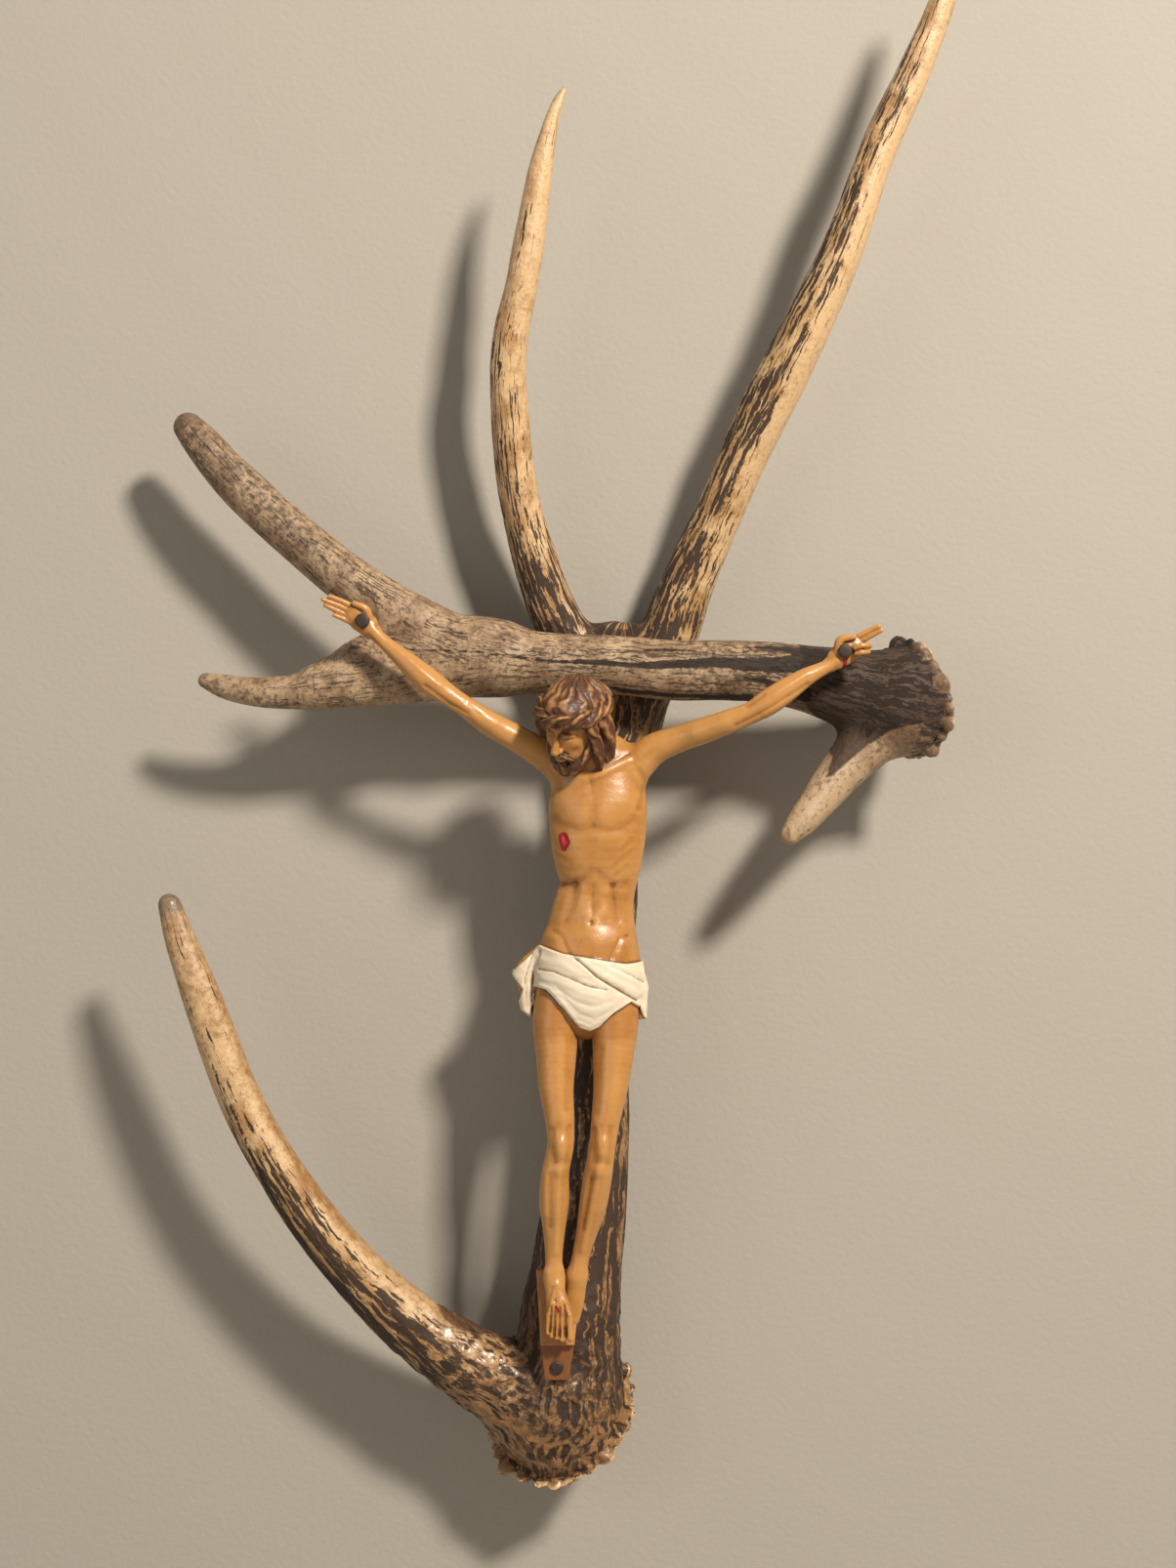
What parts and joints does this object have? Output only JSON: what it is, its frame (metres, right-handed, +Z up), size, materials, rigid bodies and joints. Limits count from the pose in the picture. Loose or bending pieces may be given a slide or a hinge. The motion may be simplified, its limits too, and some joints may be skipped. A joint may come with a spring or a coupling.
{
  "type": "deer antler crucifix",
  "caption": "Wall crucifix made of deer antlers fastened across each other, with a painted cast figure nailed on at the hands and a small footrest.",
  "frame": {"origin": "the place on the wall behind the upright antler's upper fork, where the piece hangs", "axes": "+Z up, +X to the viewer's right, +Y into the wall; the whole piece lies at negative Y"},
  "size_m": [0.3705, 0.0976, 0.7168],
  "materials": {
    "upright_antler": "antler bone, varnished, ivory ridges over dark brown grooves",
    "cross_antler": "antler bone, bare and weathered, greyish tan with dark cracks",
    "painted_figure": "cast resin, painted and varnished, white cloth and brown hair",
    "nail": "dark, dull"
  },
  "bodies": {
    "root": {"upright_antler_base": "upright_antler", "upright_antler_brow_tine": "upright_antler", "upright_antler_fork": "upright_antler", "upright_antler_left_tine": "upright_antler", "upright_antler_right_tine": "upright_antler", "cross_antler_beam": "cross_antler", "cross_antler_upper_tine": "cross_antler", "cross_antler_lower_tine": "cross_antler", "cross_antler_brow_tine": "cross_antler", "figure": "painted_figure", "right_hand_nail": "nail", "left_hand_nail": "nail", "footrest_nail": "nail"}
  },
  "joints": []
}
